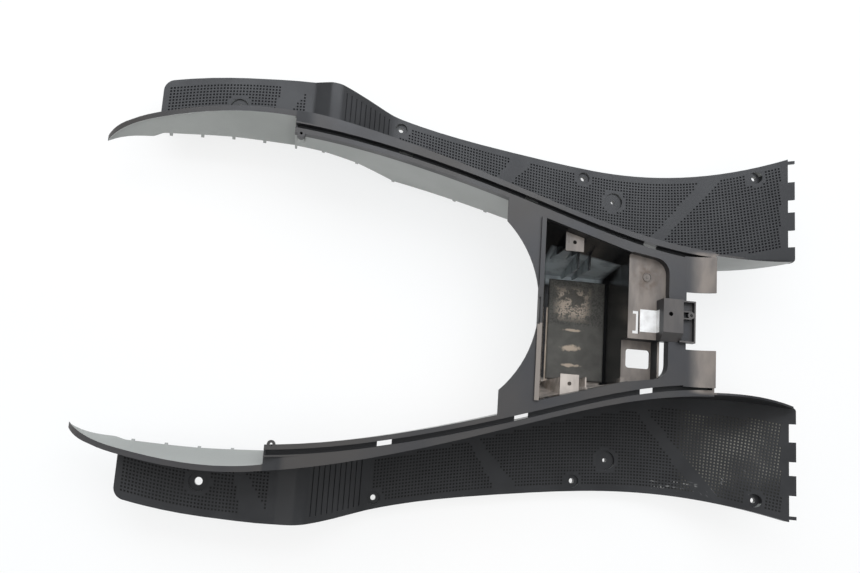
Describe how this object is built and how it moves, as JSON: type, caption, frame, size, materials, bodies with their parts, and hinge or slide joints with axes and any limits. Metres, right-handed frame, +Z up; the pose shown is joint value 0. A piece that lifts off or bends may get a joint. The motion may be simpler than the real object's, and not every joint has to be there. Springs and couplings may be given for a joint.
{
  "type": "scooter floorboard",
  "caption": "Forked plastic scooter floorboard with raised foot trays, a grooved tunnel rim and a battery well behind it.",
  "frame": {"origin": "middle of the footprint, on the plane that the skirts and the well's bottom stand on", "axes": "+X towards the tail, +Y towards the rider's right, +Z up"},
  "size_m": [0.94, 0.586, 0.15],
  "materials": {
    "board_plastic": "grained charcoal moulding, worn and dusty",
    "pad_foam": "dirty dark grey foam",
    "label_paper": "blank white sticker"
  },
  "bodies": {
    "root": {"floorboard": "board_plastic", "battery_pad": "pad_foam", "blank_label": "label_paper"}
  },
  "joints": []
}
